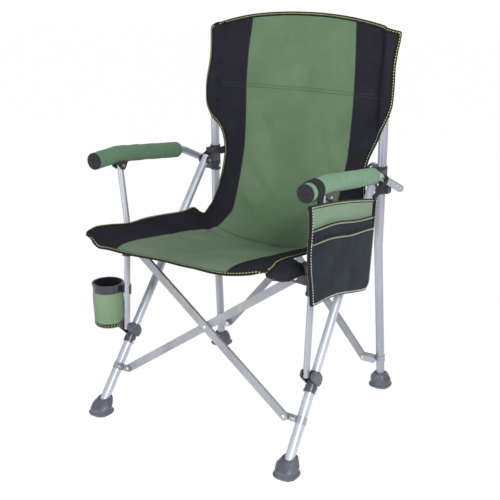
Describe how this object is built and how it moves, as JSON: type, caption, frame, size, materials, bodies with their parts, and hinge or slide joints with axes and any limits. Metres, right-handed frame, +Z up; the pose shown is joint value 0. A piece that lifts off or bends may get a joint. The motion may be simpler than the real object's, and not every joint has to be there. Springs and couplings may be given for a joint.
{
  "type": "folding camp chair",
  "caption": "Folding camp chair: round-tube frame with crossed flat bars, hinged padded arm rests, fabric sling seat and back, cup holder and hanging side pocket.",
  "frame": {"origin": "bottom centre of the whole chair's box, on the floor", "axes": "+Z up, -Y towards the front edge of the seat, +X towards the side with the pocket"},
  "size_m": [0.7268, 0.6384, 1.026],
  "materials": {
    "frame_paint": "satin silver-grey powder coat",
    "rivet_steel": "plain",
    "black_plastic": "moulded, slightly rough",
    "gloss_black": "moulded, glossy",
    "foot_rubber": "moulded",
    "sling_fabric": "woven canvas, green centre panel and black sides",
    "pad_fabric": "woven canvas over foam",
    "pocket_fabric": "woven canvas and mesh, bound edges"
  },
  "bodies": {
    "post_right": {"back_post_right": "frame_paint", "rear_leg_right": "frame_paint", "rear_foot_right": "foot_rubber", "post_collar_right": "black_plastic", "post_rivets_right": "rivet_steel", "back_sling": "sling_fabric"},
    "post_left": {"back_post_left": "frame_paint", "rear_leg_left": "frame_paint", "rear_foot_left": "foot_rubber", "post_collar_left": "black_plastic", "post_rivets_left": "rivet_steel"},
    "rear_bar_a": {"rear_bar_a": "frame_paint", "rear_cross_pin": "rivet_steel"},
    "rear_bar_b": {"rear_bar_b": "frame_paint"},
    "front_bar_a": {"front_bar_a": "frame_paint", "front_pins_a": "rivet_steel"},
    "front_bar_b": {"front_bar_b": "frame_paint", "front_pins_b": "rivet_steel"},
    "seat": {"seat_sling": "sling_fabric"},
    "hub_right": {"hub_slider_right": "black_plastic", "hub_pins_right": "rivet_steel"},
    "leg_right": {"front_leg_upper_right": "frame_paint", "front_leg_lower_right": "frame_paint", "front_foot_right": "foot_rubber", "leg_stop_collar_right": "black_plastic", "link_clamp_right": "frame_paint", "leg_rivets_right": "rivet_steel"},
    "leg_slider_right": {"leg_slider_right": "black_plastic"},
    "arm_right": {"arm_tube_right": "frame_paint", "arm_bracket_right": "black_plastic", "arm_pad_right": "pad_fabric", "arm_caps_right": "black_plastic", "arm_pin_right": "rivet_steel", "side_pocket": "pocket_fabric"},
    "support_right": {"support_tube_right": "frame_paint"},
    "corner_slider_right": {"corner_slider_right": "black_plastic", "corner_rivets_right": "rivet_steel"},
    "corner_rod_right": {"corner_rod_right": "frame_paint"},
    "link_right": {"bar_link_right": "frame_paint"},
    "hub_left": {"hub_slider_left": "black_plastic", "hub_pins_left": "rivet_steel"},
    "leg_left": {"front_leg_upper_left": "frame_paint", "front_leg_lower_left": "frame_paint", "front_foot_left": "foot_rubber", "leg_stop_collar_left": "black_plastic", "link_clamp_left": "frame_paint", "leg_rivets_left": "rivet_steel"},
    "leg_slider_left": {"leg_slider_left": "black_plastic"},
    "arm_left": {"arm_tube_left": "frame_paint", "arm_bracket_left": "black_plastic", "arm_pad_left": "pad_fabric", "arm_caps_left": "black_plastic", "arm_pin_left": "rivet_steel"},
    "support_left": {"support_tube_left": "frame_paint", "cup_ring": "gloss_black", "cup_bag": "pocket_fabric"},
    "corner_slider_left": {"corner_slider_left": "black_plastic", "corner_rivets_left": "rivet_steel"},
    "corner_rod_left": {"corner_rod_left": "frame_paint"},
    "link_left": {"bar_link_left": "frame_paint"}
  },
  "joints": [
    {"name": "fold", "type": "hinge", "parent": "post_right", "child": "rear_bar_a", "pos_m": [0.2528, 0.2657, 0.087], "axis": [0, 1, 0], "range_deg": [0, 34.27], "deforming": ["back_sling"]},
    {"name": "rear_crossing", "type": "hinge", "parent": "rear_bar_a", "child": "rear_bar_b", "pos_m": [0.0208, 0.2657, 0.3635], "axis": [0, 1, 0], "range_deg": [-68.6, 0]},
    {"name": "post_left_hinge", "type": "hinge", "parent": "rear_bar_b", "child": "post_left", "pos_m": [-0.2112, 0.2657, 0.087], "axis": [0, 1, 0], "range_deg": [0, 34.32]},
    {"name": "hub_right_hinge", "type": "hinge", "parent": "rear_bar_b", "child": "hub_right", "pos_m": [0.2528, 0.2657, 0.64], "axis": [0, 1, 0], "range_deg": [0, 34.32]},
    {"name": "hub_left_hinge", "type": "hinge", "parent": "rear_bar_a", "child": "hub_left", "pos_m": [-0.2112, 0.2657, 0.64], "axis": [0, 1, 0], "range_deg": [-34.32, 0]},
    {"name": "leg_hinge_right", "type": "hinge", "parent": "hub_right", "child": "leg_right", "pos_m": [0.2868, 0.1987, 0.613], "axis": [1, 0, 0], "range_deg": [0, 35.17]},
    {"name": "leg_slide_right", "type": "slide", "parent": "leg_right", "child": "leg_slider_right", "axis": [-0.0308, 0.617, 0.7863], "range_m": [0, 0.29704]},
    {"name": "arm_hinge_right", "type": "hinge", "parent": "post_right", "child": "arm_right", "pos_m": [0.3248, 0.24469, 0.604], "axis": [1, 0, 0], "range_deg": [-74.05, 0]},
    {"name": "support_hinge_right", "type": "hinge", "parent": "arm_right", "child": "support_right", "pos_m": [0.3248, -0.13131, 0.653], "axis": [1, 0, 0], "range_deg": [0, 72.74]},
    {"name": "corner_slide_right", "type": "slide", "parent": "support_right", "child": "corner_slider_right", "axis": [0.0035, 0.0702, 0.9975], "range_m": [-0.05276, 0]},
    {"name": "corner_rod_hinge_right", "type": "hinge", "parent": "corner_slider_right", "child": "corner_rod_right", "pos_m": [0.2748, -0.1513, 0.487], "axis": [1, 0, 0], "range_deg": [-70.74, 0]},
    {"name": "link_hinge_right", "type": "hinge", "parent": "leg_right", "child": "link_right", "pos_m": [0.2845, -0.20331, 0.115], "axis": [1, 0, 0], "range_deg": [-27.37, 0]},
    {"name": "leg_hinge_left", "type": "hinge", "parent": "hub_left", "child": "leg_left", "pos_m": [-0.2452, 0.1987, 0.613], "axis": [1, 0, 0], "range_deg": [0, 35.17]},
    {"name": "leg_slide_left", "type": "slide", "parent": "leg_left", "child": "leg_slider_left", "axis": [0.0308, 0.617, 0.7863], "range_m": [0, 0.29704]},
    {"name": "arm_hinge_left", "type": "hinge", "parent": "post_left", "child": "arm_left", "pos_m": [-0.2832, 0.24469, 0.604], "axis": [1, 0, 0], "range_deg": [-74.05, 0]},
    {"name": "support_hinge_left", "type": "hinge", "parent": "arm_left", "child": "support_left", "pos_m": [-0.2832, -0.13131, 0.653], "axis": [1, 0, 0], "range_deg": [0, 72.74]},
    {"name": "corner_slide_left", "type": "slide", "parent": "support_left", "child": "corner_slider_left", "axis": [-0.0035, 0.0702, 0.9975], "range_m": [-0.05276, 0]},
    {"name": "corner_rod_hinge_left", "type": "hinge", "parent": "corner_slider_left", "child": "corner_rod_left", "pos_m": [-0.2332, -0.1513, 0.487], "axis": [1, 0, 0], "range_deg": [-70.74, 0]},
    {"name": "link_hinge_left", "type": "hinge", "parent": "leg_left", "child": "link_left", "pos_m": [-0.2429, -0.20331, 0.115], "axis": [1, 0, 0], "range_deg": [-27.37, 0]},
    {"name": "front_bar_a_hinge", "type": "hinge", "parent": "link_right", "child": "front_bar_a", "pos_m": [0.2663, -0.20331, 0.115], "axis": [0, -0.9922, 0.1247], "range_deg": [-45.48, 0]},
    {"name": "front_bar_b_hinge", "type": "hinge", "parent": "link_left", "child": "front_bar_b", "pos_m": [-0.2247, -0.20331, 0.115], "axis": [0, -0.9922, 0.1247], "range_deg": [0, 45.48]},
    {"name": "seat_hinge", "type": "hinge", "parent": "post_right", "child": "seat", "pos_m": [0.0208, 0.17369, 0.396], "axis": [1, 0, 0], "range_deg": [-72.05, 0], "deforming": ["seat_sling"]}
  ],
  "couplings": [
    {"joint": "rear_crossing", "follows": "fold", "ratio": -2},
    {"joint": "post_left_hinge", "follows": "fold", "ratio": 1},
    {"joint": "hub_right_hinge", "follows": "fold", "ratio": 1},
    {"joint": "hub_left_hinge", "follows": "fold", "ratio": -1},
    {"joint": "leg_hinge_right", "follows": "fold", "ratio": 1.0247},
    {"joint": "leg_slide_right", "follows": "fold", "m_per_rad": 0.49623},
    {"joint": "arm_hinge_right", "follows": "fold", "ratio": -2.159},
    {"joint": "support_hinge_right", "follows": "fold", "ratio": 2.1207},
    {"joint": "corner_slide_right", "follows": "fold", "m_per_rad": -0.087871},
    {"joint": "corner_rod_hinge_right", "follows": "fold", "ratio": -2.0624},
    {"joint": "link_hinge_right", "follows": "fold", "ratio": -0.79696},
    {"joint": "leg_hinge_left", "follows": "fold", "ratio": 1.0247},
    {"joint": "leg_slide_left", "follows": "fold", "m_per_rad": 0.49623},
    {"joint": "arm_hinge_left", "follows": "fold", "ratio": -2.159},
    {"joint": "support_hinge_left", "follows": "fold", "ratio": 2.1207},
    {"joint": "corner_slide_left", "follows": "fold", "m_per_rad": -0.087871},
    {"joint": "corner_rod_hinge_left", "follows": "fold", "ratio": -2.0624},
    {"joint": "link_hinge_left", "follows": "fold", "ratio": -0.79696},
    {"joint": "front_bar_a_hinge", "follows": "fold", "ratio": -1.3255},
    {"joint": "front_bar_b_hinge", "follows": "fold", "ratio": 1.3255},
    {"joint": "seat_hinge", "follows": "fold", "ratio": -2.1007}
  ]
}
